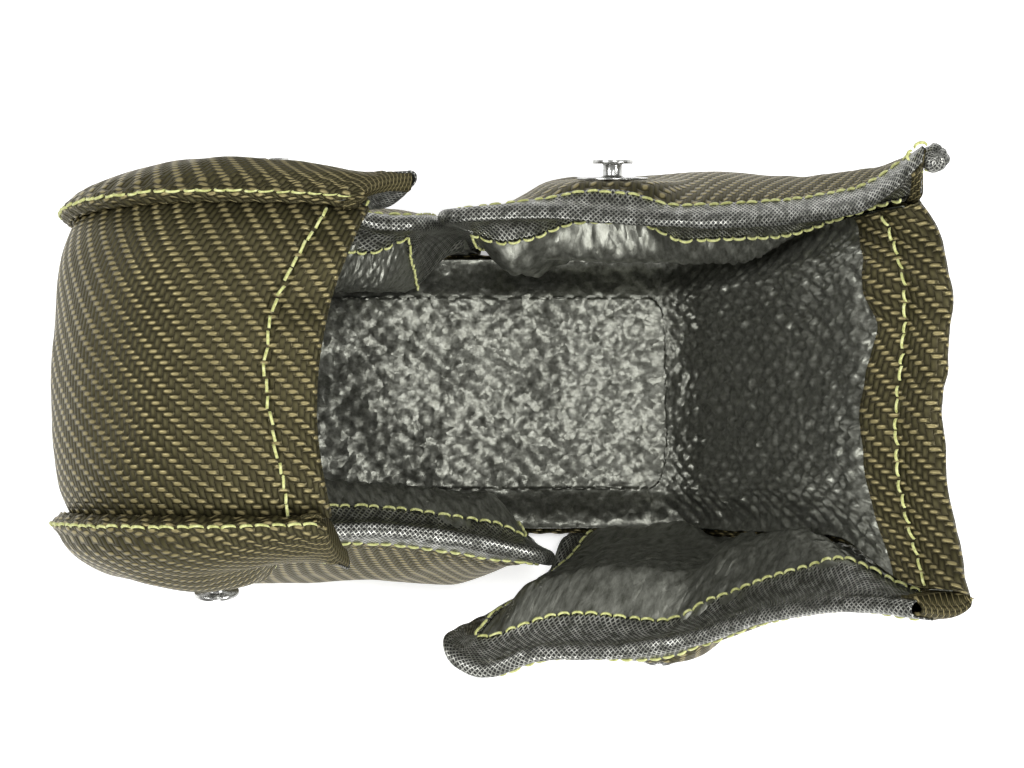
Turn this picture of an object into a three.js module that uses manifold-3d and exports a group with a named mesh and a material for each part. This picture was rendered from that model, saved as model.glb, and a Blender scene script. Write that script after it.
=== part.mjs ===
// Heat blanket that wraps round a turbocharger's turbine housing, opened out and lying on its back.
// A quilted band forms the back and the two arms: the left arm curls over, and the right arm stands open.
// Each side of the band carries two quilted panels, which meet in a slit at the floor and leave the
// middle open for the housing. Every quilt has woven mineral cloth outside, an insulation mat, and
// embossed foil inside. Knitted wire mesh binds the panels' free edges, and a riveted stud on each
// panel is what the blanket is laced shut by.
// Millimetres, +Z up, the band's width along Y, and the origin on the floor under the band.
import * as THREE from "three";
import { mergeVertices } from "three/addons/utils/BufferGeometryUtils.js";
import Module from "manifold-3d";

const wasm = await Module();
wasm.setup();

// Layers of a quilt
const clothThickness = 1.3;
const foilThickness = 0.7;
const layerGap = 0.3;
const thinnestMat = 0.8;
const bandMat = 8.2;
const panelMat = 22;
const thinnestQuilt = clothThickness + foilThickness + 2 * layerGap + thinnestMat;

// Band, as stretches of its seam line from the middle of the floor outwards
const bandWidth = 91;
const bandCrown = 6;
const endCrown = { share: 0.7, over: 45 };
const seamHeight = 5;
const rightFloor = 44;
const rightBend = { radius: 22, turn: 68 };
const rightArm = 84;
const rightFlare = { length: 26, turn: -22 };
const leftFloor = 65.5;
const leftBend = { radius: 60, turn: -90 };
const leftShoulder = { radius: 48, turn: -90 };
const leftTip = { length: 24.5, turn: -13 };
const endSplay = 6;
const endLean = 1;
const endSplayLength = 38;
const leftTuck = 3.5;
const leftTuckRun = { from: 90, over: 60 };
const leftEndSkew = 4.8;
const leftEndHollow = 9;
const rightEndSkew = -6.5;
const rightEndHollow = -1.5;
const rightEndWave = 4.4;
const seamTaper = 13;
const endTaper = 26;
const leftHem = 9;
const rightHem = 17;

// Side panels
const floorGap = 2;
const seamClearance = 0.6;
const panelRise = { from: 3, over: 9 };
const panelFoot = 12;
const bellyPeak = 0.35;
const edgeTaper = 20;
const slitTaper = 20;
const mouthTaper = 30;
const fullBelly = 60;
const rearSlit = { left: -10.7, right: -6.4 };
const frontSlit = { left: 5, right: 21.5 };
const slitRelax = 30;
const endInset = 2;

// Knitted mesh that binds a panel's free edge
const meshWall = 0.8;
const meshClearance = 0.3;
const meshInside = 8;
const meshOutside = 4;

// Stud, with its washer outside the cloth and its plate behind it
const headRadius = 6.2;
const headThickness = 1.1;
const neckRadius = 2.9;
const neckHeight = 4.2;
const washerRadius = 10.8;
const washerThickness = 0.7;
const plateThickness = 0.9;
const rivetRadius = 4.4;
const rivetThickness = 0.8;
const boreClearance = 0.3;
const seatRim = 1.6;
const seatFlat = 14;
const seatBlend = 27;
const seatMargin = 8;

const radians = THREE.MathUtils.degToRad;
const ease = (x) => THREE.MathUtils.smoothstep(x, 0, 1);

// Colours and finishes
const finishes = {
  cloth: new THREE.MeshStandardMaterial({ color: 0x5a5334, roughness: 0.7, metalness: 0.1 }),
  mat: new THREE.MeshStandardMaterial({ color: 0xd8d4c4, roughness: 0.95, metalness: 0 }),
  foil: new THREE.MeshStandardMaterial({ color: 0x9a9a94, roughness: 0.3, metalness: 0.9 }),
  mesh: new THREE.MeshStandardMaterial({ color: 0x77776f, roughness: 0.5, metalness: 0.7 }),
  steel: new THREE.MeshStandardMaterial({ color: 0xa8a8a8, roughness: 0.3, metalness: 1 }),
};

// Seam line
const arc = ({ radius, turn }) => ({ length: radius * Math.abs(radians(turn)), turn });
const rightRun = [{ length: rightFloor, turn: 0 }, arc(rightBend), { length: rightArm, turn: 0 }, rightFlare];
const leftRun = [{ length: leftFloor, turn: 0 }, arc(leftBend), arc(leftShoulder), leftTip];
const runLength = (run) => run.reduce((sum, stretch) => sum + stretch.length, 0);
const rightEnd = runLength(rightRun);
const leftEnd = -runLength(leftRun);

// Follows a run of stretches from the middle of the floor; the last stretch goes on straight past its end.
function follow(run, heading, distance) {
  let x = 0;
  let z = seamHeight;
  let left = distance;
  for (const { length, turn } of run) {
    const here = Math.min(left, length);
    const turned = radians(turn) * (here / length);
    const chord = turned ? (2 * here * Math.sin(turned / 2)) / turned : here;
    x += chord * Math.cos(heading + turned / 2);
    z += chord * Math.sin(heading + turned / 2);
    heading += turned;
    left -= here;
  }
  return { x: x + left * Math.cos(heading), z: z + left * Math.sin(heading), heading };
}

// The seam line at s, with its outward normal in the XZ plane. s runs from the left arm's end to the right's.
function seamAt(s) {
  const { x, z, heading } = s < 0 ? follow(leftRun, Math.PI, -s) : follow(rightRun, 0, s);
  const tangent = s < 0 ? heading - Math.PI : heading;
  return { x, z, nx: Math.sin(tangent), nz: -Math.cos(tangent) };
}

const seamSteps = 120;
const seamSamples = Array.from({ length: seamSteps + 1 }, (_, i) =>
  seamAt(THREE.MathUtils.lerp(leftEnd, rightEnd, i / seamSteps)),
);
const seamDistance = (x, z) => Math.min(...seamSamples.map((p) => Math.hypot(p.x - x, p.z - z)));

const splay = (s) => endSplay * ease((s - rightEnd + endSplayLength) / endSplayLength);
const tuck = (s) => leftTuck * ease((-s - leftTuckRun.from) / leftTuckRun.over);
const acrossAt = (s, v) => v * (bandWidth / 2 + splay(s) * (1 - endLean * v) - tuck(s)) + tuck(s);
const leftEndAt = (v) => leftEnd - leftEndSkew * v - leftEndHollow * v * v;
const rightEndAt = (v) =>
  rightEnd + rightEndSkew * v - rightEndHollow * v * v + rightEndWave * Math.sin(Math.PI * v);

// The band's outer face. v runs across it, from -1 at the front seam to 1 at the rear one.
function bandFace(s, v) {
  const seam = seamAt(s);
  const crown = bandCrown * THREE.MathUtils.lerp(endCrown.share, 1, ease((rightEnd - s) / endCrown.over));
  const rise = crown * (1 - Math.abs(v) ** 5);
  return new THREE.Vector3(seam.x + seam.nx * rise, acrossAt(s, v), Math.max(seam.z + seam.nz * rise, 0));
}

// A point of the band at a depth below its outer face
function bandPoint(s, v, depth) {
  const along = bandFace(s + 0.4, v).sub(bandFace(s - 0.4, v));
  const across = bandFace(s, v + 0.01).sub(bandFace(s, v - 0.01));
  return bandFace(s, v).addScaledVector(along.cross(across).normalize(), depth);
}

// The band's full depth, thin at its seams and ends
function bandDepth(s, v) {
  const fromSeam = (1 - Math.abs(v)) * (bandWidth / 2);
  const fromEnd = Math.min(s - leftEndAt(v), rightEndAt(v) - s);
  return thinnestQuilt + (bandMat - thinnestMat) * ease(fromSeam / seamTaper) * ease(fromEnd / endTaper);
}

// Builds a closed sheet from its outer face and inner face, each a grid of stations by rows. Both faces
// split each cell along the same diagonal, so that layers on one grid keep an even gap; crossed() says
// which cells take the other diagonal.
function sheet(stations, rows, place, crossed = () => false) {
  const across = rows + 1;
  const faceSize = (stations + 1) * across;
  const positions = [];
  for (const face of [0, 1])
    for (let i = 0; i <= stations; i++)
      for (let j = 0; j <= rows; j++) positions.push(...place(i, j, face).toArray());
  const at = (i, j, face) => face * faceSize + i * across + j;
  const index = [];
  const quad = (a, b, c, d) => index.push(a, b, c, a, c, d);
  for (let i = 0; i < stations; i++)
    for (let j = 0; j < rows; j++) {
      const corners = [at(i, j, 0), at(i + 1, j, 0), at(i + 1, j + 1, 0), at(i, j + 1, 0)];
      if (crossed(i, j)) corners.push(corners.shift());
      const [a, b, c, d] = corners.map((corner) => corner + faceSize);
      quad(...corners);
      quad(a, d, c, b);
    }
  for (let i = 0; i < stations; i++) {
    quad(at(i, 0, 1), at(i + 1, 0, 1), at(i + 1, 0, 0), at(i, 0, 0));
    quad(at(i, rows, 0), at(i + 1, rows, 0), at(i + 1, rows, 1), at(i, rows, 1));
  }
  for (let j = 0; j < rows; j++) {
    quad(at(0, j, 0), at(0, j + 1, 0), at(0, j + 1, 1), at(0, j, 1));
    quad(at(stations, j, 1), at(stations, j + 1, 1), at(stations, j + 1, 0), at(stations, j, 0));
  }
  return closed(positions, index);
}

// Merges corners that coincide, drops faces that this folds flat, and turns all faces outwards.
function closed(positions, faces) {
  const bare = new THREE.BufferGeometry();
  bare.setAttribute("position", new THREE.Float32BufferAttribute(positions, 3));
  const geometry = mergeVertices(bare.setIndex(faces), 1e-3);
  const p = geometry.getAttribute("position");
  const merged = geometry.index.array;
  const index = [];
  for (let i = 0; i < merged.length; i += 3) {
    const corners = [merged[i], merged[i + 1], merged[i + 2]];
    if (new Set(corners).size === 3) index.push(...corners);
  }
  const [a, b, c] = [new THREE.Vector3(), new THREE.Vector3(), new THREE.Vector3()];
  let volume = 0;
  for (let i = 0; i < index.length; i += 3) {
    a.fromBufferAttribute(p, index[i]);
    b.fromBufferAttribute(p, index[i + 1]);
    c.fromBufferAttribute(p, index[i + 2]);
    volume += a.dot(b.cross(c));
  }
  return geometry.setIndex(volume < 0 ? index.reverse() : index);
}

// Booleans
function solidOf(geometry) {
  const bare = new THREE.BufferGeometry().setAttribute("position", geometry.getAttribute("position").clone());
  const merged = mergeVertices(geometry.index ? bare.setIndex(geometry.index.clone()) : bare, 1e-4);
  return new wasm.Manifold(
    new wasm.Mesh({
      numProp: 3,
      vertProperties: new Float32Array(merged.getAttribute("position").array),
      triVerts: new Uint32Array(merged.index.array),
    }),
  );
}

function geometryOf(solid) {
  const { vertProperties, triVerts, numProp } = solid.getMesh();
  const positions = [];
  for (let i = 0; i < vertProperties.length; i += numProp)
    positions.push(...vertProperties.subarray(i, i + 3));
  return new THREE.BufferGeometry()
    .setAttribute("position", new THREE.Float32BufferAttribute(positions, 3))
    .setIndex(Array.from(triVerts));
}

function named(name, geometry, finish) {
  geometry.computeVertexNormals();
  const mesh = new THREE.Mesh(geometry, finish);
  mesh.name = name;
  return mesh;
}

// Band: cloth folded round both ends, mat and foil
const bandStations = 40;
const bandRows = 8;
const rowAt = (j) => Math.sin((j / bandRows - 0.5) * Math.PI);

// A station of the band; the first two and the last two cells lie under the hems.
function stationAt(i, v) {
  const [start, end] = [leftEndAt(v), rightEndAt(v)];
  const last = bandStations;
  if (i < 2) return start + (i * leftHem) / 2;
  if (i > last - 2) return end - ((last - i) * rightHem) / 2;
  return THREE.MathUtils.mapLinear(i, 2, last - 2, start + leftHem, end - rightHem);
}

function bandLayer(outer, inner) {
  return sheet(bandStations, bandRows, (i, j, face) => {
    const v = rowAt(j);
    const s = stationAt(i, v);
    return bandPoint(s, v, face ? inner(bandDepth(s, v)) : outer(bandDepth(s, v)));
  });
}

// The cloth's section: station, whether it lies inside the foil, and which end it wraps
const fold = [
  { station: 2, inside: true, wraps: 0 },
  { station: 1, inside: true, wraps: 0 },
  { station: 0, inside: true, wraps: 0 },
  { station: 0, inside: true, wraps: -1 },
  { station: 0, inside: false, wraps: -1 },
];
const outerRun = Array.from({ length: bandStations + 1 }, (_, i) => ({
  station: i,
  inside: false,
  wraps: 0,
}));
const mirrored = fold.map((stop) => ({ ...stop, station: bandStations - stop.station, wraps: -stop.wraps }));
const clothRun = [...fold, ...outerRun, ...mirrored.reverse()];

function bandCloth() {
  const place = (i, j, face) => {
    const { station, inside, wraps } = clothRun[i];
    const v = rowAt(j);
    const s = stationAt(station, v);
    const reach = face ? layerGap : layerGap + clothThickness;
    const depth = inside ? bandDepth(s, v) + reach : face * clothThickness;
    return bandPoint(s + wraps * reach, v, depth);
  };
  return sheet(clothRun.length - 1, bandRows, place, (i) => clothRun[i].inside && clothRun[i + 1].inside);
}

const band = new THREE.Group();
band.add(named("band_cloth", bandCloth(), finishes.cloth));
band.add(
  named(
    "band_insulation",
    bandLayer(
      () => clothThickness + layerGap,
      (depth) => depth - foilThickness - layerGap,
    ),
    finishes.mat,
  ),
);
band.add(
  named(
    "band_foil",
    bandLayer(
      (depth) => depth - foilThickness,
      (depth) => depth,
    ),
    finishes.foil,
  ),
);

// Side panels. A panel is ruled from the seam (t = 0) to its free edge (t = 1); u runs from the mouth to
// the slit. Each free-edge point hangs on a point of the seam line, so that it follows the band.
const leftHang = seamAt(leftEnd);
const rightHang = seamAt(rightEnd);
const root = seamAt(0);
const hung = (point, dx, y, dz) => new THREE.Vector3(point.x + dx, bandWidth / 2 + y, point.z + dz);

const panels = [
  {
    name: "rear_left",
    side: 1,
    from: leftEndAt(1) + endInset,
    to: rearSlit.left,
    lip: 3,
    belly: 8.2,
    slitBelly: 0.5,
    edge: [
      hung(leftHang, 26, 9, -6),
      hung(leftHang, 18, 5, -16),
      hung(leftHang, 8, 6, -25),
      hung(leftHang, 1, 6, -37),
      hung(root, -47, 5, 59),
      hung(root, -38, 4, 54),
      hung(root, -26.5, 4, 53),
    ],
    stud: { along: 90.6, inset: 23, tilt: 11 },
  },
  {
    name: "front_left",
    side: -1,
    from: leftEndAt(-1) + endInset,
    to: frontSlit.left,
    lip: 4,
    belly: 12,
    slitBelly: 0.15,
    edge: [
      hung(leftHang, 9, 6, -9),
      hung(leftHang, -4, -1, -21),
      hung(leftHang, -11, 3, -31),
      hung(leftHang, -12, 3, -42),
      hung(root, -58, 0, 58),
      hung(root, -38, -1, 55),
      hung(root, -14, 2, 53),
      hung(root, 13, 8, 42),
    ],
    stud: { along: 82, inset: 18.5, tilt: -15 },
  },
  {
    name: "rear_right",
    side: 1,
    from: rightEndAt(1) - endInset,
    to: rearSlit.right,
    lip: 3,
    belly: 19,
    slitBelly: 0.15,
    edge: [
      hung(rightHang, -5, 11, 10),
      hung(rightHang, -15, 2, -3),
      hung(rightHang, -28, 1, -23),
      hung(rightHang, -41, 2, -38),
      hung(rightHang, -56, 3, -48),
      hung(root, 34, 5, 59),
      hung(root, 12, 7, 56),
      hung(root, -22.5, 6, 55),
    ],
    stud: { along: 136, inset: 20.5, tilt: 11 },
  },
  {
    name: "front_right",
    side: -1,
    from: rightEndAt(-1) - endInset,
    to: frontSlit.right,
    lip: 3,
    belly: 12,
    slitBelly: 0.5,
    edge: [
      hung(rightHang, -7, 17.2, 6),
      hung(rightHang, -22, 17, -11),
      hung(rightHang, -43, 22.5, -35),
      hung(rightHang, -59, 30, -49),
      hung(root, 31, 34, 57),
      hung(root, 7, 35, 54),
      hung(root, -9, 39.5, 56),
      hung(root, -22, 32.5, 56),
    ],
    stud: { along: 106.6, inset: 34.5, tilt: -19 },
  },
];

// Adds to a panel the functions that place points on it.
function shapePanel(panel) {
  const edge = new THREE.CatmullRomCurve3(panel.edge);
  const span = Math.abs(panel.to - panel.from);
  const seamOf = (u) => THREE.MathUtils.lerp(panel.from, panel.to, u);

  // The outer face as x, distance from the middle, and z, with no seat pressed into it
  function ruled(u, t) {
    const held = THREE.MathUtils.clamp(u, 0, 1);
    const seam = seamAt(seamOf(u));
    const free = edge.getPoint(held);
    if (u > 1) free.addScaledVector(free.clone().sub(edge.getPoint(0.98)), (u - 1) / 0.02);
    const top = panel.side * acrossAt(seamOf(u), panel.side) + seamClearance + thinnestQuilt;
    const start = new THREE.Vector3(seam.x + seam.nx * panel.lip, top, seam.z + seam.nz * panel.lip);
    start.z = Math.max(start.z, floorGap);
    const relax = THREE.MathUtils.lerp(panel.slitBelly, 1, ease(((1 - held) * span) / slitRelax));
    const puff = panel.belly * relax * ease(start.distanceTo(free) / fullBelly);
    const bulge = puff * Math.sin(Math.PI * Math.max(t, 0) ** (Math.log(0.5) / Math.log(bellyPeak)));
    return start.lerp(free, t).add(new THREE.Vector3(0, bulge, 0));
  }

  const length = (u) => ruled(Math.min(u, 1), 0).distanceTo(ruled(Math.min(u, 1), 1));

  // The stud's place, a distance along the seam from the mouth and a distance in from the free edge
  const studU = panel.stud.along / span;
  const seat = ruled(studU, 1 - panel.stud.inset / length(studU));
  const tilt = radians(panel.stud.tilt);
  const normal = new THREE.Vector3(0, Math.cos(tilt), Math.sin(tilt));

  // The cloth is pressed flat where the washer sits.
  function face(u, t) {
    const p = ruled(u, t);
    const off = Math.hypot(p.x - seat.x, p.z - seat.z);
    const flat = seat.y - ((p.x - seat.x) * normal.x + (p.z - seat.z) * normal.z) / normal.y;
    const pressed = 1 - ease((off - seatFlat) / (seatBlend - seatFlat));
    p.y = THREE.MathUtils.lerp(p.y, flat, pressed * ease(((1 - t) * length(u)) / seatMargin));
    return p;
  }

  const gap = (a, b) => Math.hypot(a.x - b.x, a.z - b.z);
  function depth(u, t) {
    const p = ruled(u, t);
    const fill =
      ease((seamDistance(p.x, p.z) - panelRise.from) / panelRise.over) *
      ease(((1 - t) * length(u)) / edgeTaper) *
      ease(gap(p, ruled(1, t)) / slitTaper) *
      ease(gap(p, ruled(0, t)) / mouthTaper);
    const beside = 1 - ease((seamDistance(p.x, p.z) - panelRise.from) / panelRise.over);
    const standoff = Math.max(p.y - ruled(u, 0).y, 0);
    return thinnestQuilt + (panelMat - thinnestMat) * fill + standoff * beside;
  }

  function point(u, t, inwards) {
    const p = face(u, t);
    return new THREE.Vector3(p.x, panel.side * (p.y - inwards), p.z);
  }
  const slitReach = ruled(1, 0.8).distanceTo(ruled(0.95, 0.8)) / 0.05;
  return { ...panel, point, depth, length, slitReach, seat, normal };
}

// A panel's grid. Its last two stations and last two rows lie under the mesh binding; its first rows
// follow the quick rise from the seam.
const panelStations = 16;
const panelRows = 8;
const footRows = 3;

function gridU(panel, i) {
  if (i === panelStations) return 1;
  if (i === panelStations - 1) return 1 - meshOutside / panel.slitReach;
  return (i / (panelStations - 2)) * (1 - meshInside / panel.slitReach);
}

function gridT(panel, u, j) {
  const length = panel.length(u);
  const foot = Math.min(panelFoot, (length - meshInside) / 2);
  const brow = length - meshInside;
  if (j === panelRows) return 1;
  if (j === panelRows - 1) return 1 - meshOutside / length;
  if (j <= footRows) return (foot * j) / footRows / length;
  return THREE.MathUtils.mapLinear(j, footRows, panelRows - 2, foot, brow) / length;
}

function panelLayer(panel, outer, inner) {
  return sheet(panelStations, panelRows, (i, j, side) => {
    const u = gridU(panel, i);
    const t = gridT(panel, u, j);
    const depth = panel.depth(u, t);
    return panel.point(u, t, side ? inner(depth) : outer(depth));
  });
}

// The panel's cloth turns over the layers' ends at the seam, in two more rows before the grid's own.
function panelCloth(panel) {
  return sheet(panelStations, panelRows + 2, (i, j, side) => {
    const u = gridU(panel, i);
    if (j > 1) return panel.point(u, gridT(panel, u, j - 2), side * clothThickness);
    const reach = layerGap + (side ? 0 : clothThickness);
    return panel.point(u, -reach / panel.length(u), j ? side * clothThickness : thinnestQuilt);
  });
}

// Mesh binding: a channel that holds the quilt's thin edge, along the free edge and down the slit.
// Each corner of its outline is a distance in from the quilt's edge and a level, 0 outside and 1 inside.
const slitRows = panelRows - footRows;
const channel = [
  { inset: meshOutside, level: 0 },
  { inset: 0, level: 0 },
  { inset: 0, level: 1 },
  { inset: meshOutside, level: 1 },
  { inset: meshInside, level: 1 },
];

function binding(panel) {
  const place = (i, j, face) => {
    const wall = meshClearance + (face ? 0 : meshWall);
    const { inset, level } = channel[i];
    const uEnd = 1 - (inset || -wall) / panel.slitReach;
    const station = gridU(panel, Math.min(j, panelStations));
    const u = j < panelStations ? Math.min(station, uEnd) : uEnd;
    const tEnd = 1 - (inset || -wall) / panel.length(u);
    const row = gridT(panel, u, panelRows - Math.max(j - panelStations, 0));
    const t = j > panelStations ? Math.min(row, tEnd) : tEnd;
    const depth = panel.depth(Math.min(u, 1), Math.min(t, 1));
    return panel.point(u, t, THREE.MathUtils.lerp(-wall, depth + wall, level));
  };
  return sheet(channel.length - 1, panelStations + slitRows, place, (i, j) => i >= 2 !== j >= panelStations);
}

// Stud pieces, turned about Y with the cloth's outer face at 0
const turned = (outline) => new THREE.LatheGeometry(outline.map(([r, y]) => new THREE.Vector2(r, y)), 20);
const plateTop = -clothThickness - layerGap;
const rivetTop = plateTop - plateThickness - boreClearance;
const headBase = layerGap + washerThickness + neckHeight;

function studShape() {
  const rim = headThickness / 4;
  return turned([
    [0, rivetTop - rivetThickness],
    [rivetRadius, rivetTop - rivetThickness],
    [rivetRadius, rivetTop],
    [neckRadius, rivetTop],
    [neckRadius, headBase - rim],
    [neckRadius + rim, headBase],
    [headRadius, headBase],
    [headRadius, headBase + headThickness - rim],
    [headRadius - rim, headBase + headThickness],
    [0, headBase + headThickness],
  ]);
}

function disc(bottom, top, radius) {
  const bore = neckRadius + boreClearance;
  return turned([
    [bore, bottom],
    [radius, bottom],
    [radius, top],
    [bore, top],
    [bore, bottom],
  ]);
}

function plug(radius, bottom, top) {
  return turned([
    [0, bottom],
    [radius, bottom],
    [radius, top],
    [0, top],
  ]);
}

function buildPanel(panel) {
  const shaped = shapePanel(panel);
  const group = new THREE.Group();
  const mount = new THREE.Group();
  mount.position.set(shaped.seat.x, panel.side * shaped.seat.y, shaped.seat.z);
  const axis = new THREE.Vector3(shaped.normal.x, panel.side * shaped.normal.y, shaped.normal.z);
  mount.quaternion.setFromUnitVectors(new THREE.Vector3(0, 1, 0), axis);
  mount.updateMatrix();
  const seated = (tool) => solidOf(tool.applyMatrix4(mount.matrix));

  const mat = panelLayer(
    shaped,
    () => clothThickness + layerGap,
    (depth) => depth - foilThickness - layerGap,
  );
  const foil = panelLayer(
    shaped,
    (depth) => depth - foilThickness,
    (depth) => depth,
  );
  const seatRadius = washerRadius + seatRim;
  const clear = plug(seatRadius - seatRim / 2, -seatRadius, seatRadius);
  const pad = disc(-clothThickness, 0, seatRadius);
  const pocket = plug(seatRadius + boreClearance, rivetTop - rivetThickness - boreClearance, seatRadius);
  const padded = solidOf(panelCloth(shaped)).subtract(seated(clear)).add(seated(pad));
  group.add(named(panel.name + "_cloth", geometryOf(padded), finishes.cloth));
  const hollowed = solidOf(mat).subtract(seated(pocket));
  group.add(named(panel.name + "_insulation", geometryOf(hollowed), finishes.mat));
  group.add(named(panel.name + "_foil", foil, finishes.foil));
  group.add(named(panel.name + "_edge_mesh", binding(shaped), finishes.mesh));
  mount.add(named(panel.name + "_stud", studShape(), finishes.steel));
  const washer = disc(layerGap, layerGap + washerThickness, washerRadius);
  mount.add(named(panel.name + "_washer", washer, finishes.steel));
  const plate = disc(plateTop - plateThickness, plateTop, washerRadius);
  mount.add(named(panel.name + "_backing_plate", plate, finishes.steel));
  group.add(mount);
  return group;
}

const blanket = new THREE.Group();
blanket.add(band);
for (const panel of panels) blanket.add(buildPanel(panel));

export default blanket;
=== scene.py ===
# Looks of a turbocharger heat blanket that lies opened on its back.
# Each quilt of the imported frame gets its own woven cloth, crinkled foil, knitted wire binding and thread,
# laid on the same seam lines as the frame. Sizes are in millimetres, and meshes are made in metres.
import math

import bpy
import numpy as np
from mathutils import Matrix, Vector


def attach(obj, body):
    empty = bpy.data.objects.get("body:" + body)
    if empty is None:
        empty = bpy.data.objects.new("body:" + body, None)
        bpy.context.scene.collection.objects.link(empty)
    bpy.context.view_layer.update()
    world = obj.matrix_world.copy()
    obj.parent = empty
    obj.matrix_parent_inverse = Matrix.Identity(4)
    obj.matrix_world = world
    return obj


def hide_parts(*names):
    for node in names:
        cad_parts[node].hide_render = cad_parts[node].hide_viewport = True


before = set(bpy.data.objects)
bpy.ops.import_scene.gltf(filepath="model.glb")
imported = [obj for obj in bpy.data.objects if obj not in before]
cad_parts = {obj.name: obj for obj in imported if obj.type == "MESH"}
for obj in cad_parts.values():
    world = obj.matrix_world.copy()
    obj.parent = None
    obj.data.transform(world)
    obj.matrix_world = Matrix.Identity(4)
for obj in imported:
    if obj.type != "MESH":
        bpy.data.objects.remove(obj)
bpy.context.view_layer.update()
bpy.ops.object.select_all(action="DESELECT")

MM = 0.001

# Layers of a quilt, as the frame has them
CLOTH, FOIL, GAP, THIN_MAT = 1.3, 0.7, 0.3, 0.8
BAND_MAT, PANEL_MAT = 8.2, 22
THIN_QUILT = CLOTH + FOIL + 2 * GAP + THIN_MAT

# Band and its seam line, as stretches of length and turn from the middle of the floor outwards
BAND_WIDTH, BAND_CROWN, SEAM_HEIGHT = 91, 6, 5
END_CROWN_SHARE, END_CROWN_OVER = 0.7, 45
RIGHT_RUN = [(44, 0), (22 * math.radians(68), 68), (84, 0), (26, -22)]
LEFT_RUN = [(65.5, 0), (60 * math.radians(90), -90), (48 * math.radians(90), -90), (24.5, -13)]
END_SPLAY, END_LEAN, END_SPLAY_LENGTH = 6, 1, 38
LEFT_TUCK, LEFT_TUCK_FROM, LEFT_TUCK_OVER = 3.5, 90, 60
LEFT_END_SKEW, LEFT_END_HOLLOW = 4.8, 9
RIGHT_END_SKEW, RIGHT_END_HOLLOW, RIGHT_END_WAVE = -6.5, -1.5, 4.4
SEAM_TAPER, END_TAPER = 13, 26
LEFT_HEM, RIGHT_HEM = 9, 17
RIGHT_END = sum(length for length, turn in RIGHT_RUN)
LEFT_END = -sum(length for length, turn in LEFT_RUN)

# Side panels
FLOOR_GAP, SEAM_CLEARANCE = 2, 0.6
RISE_FROM, RISE_OVER = 3, 9
BELLY_PEAK, FULL_BELLY, SLIT_RELAX = 0.35, 60, 30
EDGE_TAPER, SLIT_TAPER, MOUTH_TAPER = 20, 20, 30
END_INSET = 2
SEAT_FLAT, SEAT_BLEND, SEAT_MARGIN = 14, 27, 8
CORNER = 9

# Studs
HEAD_RADIUS, HEAD_THICKNESS, NECK_RADIUS, NECK_HEIGHT = 6.2, 1.1, 2.9, 4.2
WASHER_RADIUS, WASHER_THICKNESS = 10.8, 0.7

# Fabric, thread and foil
YARN = 1.5
SKIN = 0.9
CLOTH_PITCH, FOIL_PITCH = 0.98, 0.95
RIGHT_STITCH = 8.5
PUCKER_DEEP, PUCKER_WIDE, PUCKER_PITCH = 0.35, 3.2, 6.3
LINER = 0.35
FOLD = THIN_QUILT / 2 + 0.2
STITCH, STITCH_GAP, THREAD = 3.4, 0.7, 0.42
ROLL = 2.35
KNOB, KNOB_PLACE = 3.6, (3.2, -2.3, -1)
STRIP_OUT, STRIP_IN = 4.5, 8.5


def smooth(x):
    x = np.clip(x, 0, 1)
    return x * x * (3 - 2 * x)


def mix(a, b, share):
    return a + (b - a) * share


def chance(i, j, seed):
    """A fixed number from 0 to 1 for each pair of whole numbers."""
    wave = np.sin(i * 127.1 + j * 311.7 + seed * 74.7) * 43758.5453
    return wave - np.floor(wave)


def ripple(x, y, seed):
    """Smooth noise from -1 to 1 with a knot at each whole number."""
    i, j = np.floor(x), np.floor(y)
    a, b = smooth(x - i), smooth(y - j)
    low = mix(chance(i, j, seed), chance(i + 1, j, seed), a)
    high = mix(chance(i, j + 1, seed), chance(i + 1, j + 1, seed), a)
    return 2 * mix(low, high, b) - 1


def facets(x, y, seed):
    """Height of a sheet that is creased into flat facets a unit wide, each tilted its own way."""
    i, j = np.floor(x), np.floor(y)
    nearest = np.full(np.shape(x), 1e9)
    height = np.zeros(np.shape(x))
    for di in (-1, 0, 1):
        for dj in (-1, 0, 1):
            a, b = i + di, j + dj
            dx = x - a - chance(a, b, seed)
            dy = y - b - chance(a, b, seed + 1)
            away = dx * dx + dy * dy
            tilted = dx * (2 * chance(a, b, seed + 2) - 1) + dy * (2 * chance(a, b, seed + 3) - 1)
            height = np.where(away < nearest, tilted, height)
            nearest = np.minimum(nearest, away)
    return height


# The seam line
def follow(run, heading, distance):
    x = np.zeros_like(distance)
    z = np.full_like(distance, SEAM_HEIGHT)
    heading = np.full_like(distance, heading)
    left = distance.copy()
    for length, turn in run:
        here = np.minimum(left, length)
        turned = math.radians(turn) * (here / length)
        chord = here * np.sinc(turned / 2 / np.pi)
        x += chord * np.cos(heading + turned / 2)
        z += chord * np.sin(heading + turned / 2)
        heading = heading + turned
        left = left - here
    return x + left * np.cos(heading), z + left * np.sin(heading), heading


def seam_at(s):
    """The seam line at s, as x, z and its outward normal."""
    s = np.asarray(s, float)
    left_x, left_z, left_heading = follow(LEFT_RUN, math.pi, np.maximum(-s, 0))
    right_x, right_z, right_heading = follow(RIGHT_RUN, 0.0, np.maximum(s, 0))
    tangent = np.where(s < 0, left_heading - math.pi, right_heading)
    x, z = np.where(s < 0, left_x, right_x), np.where(s < 0, left_z, right_z)
    return x, z, np.sin(tangent), -np.cos(tangent)


SEAM = seam_at(np.linspace(LEFT_END, RIGHT_END, 121))[:2]


def seam_distance(x, z):
    away = np.hypot(x[..., None] - SEAM[0], z[..., None] - SEAM[1])
    return away.min(-1)


def across_at(s, v):
    splay = END_SPLAY * smooth((s - RIGHT_END + END_SPLAY_LENGTH) / END_SPLAY_LENGTH)
    tuck = LEFT_TUCK * smooth((-s - LEFT_TUCK_FROM) / LEFT_TUCK_OVER)
    return v * (BAND_WIDTH / 2 + splay * (1 - END_LEAN * v) - tuck) + tuck


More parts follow.
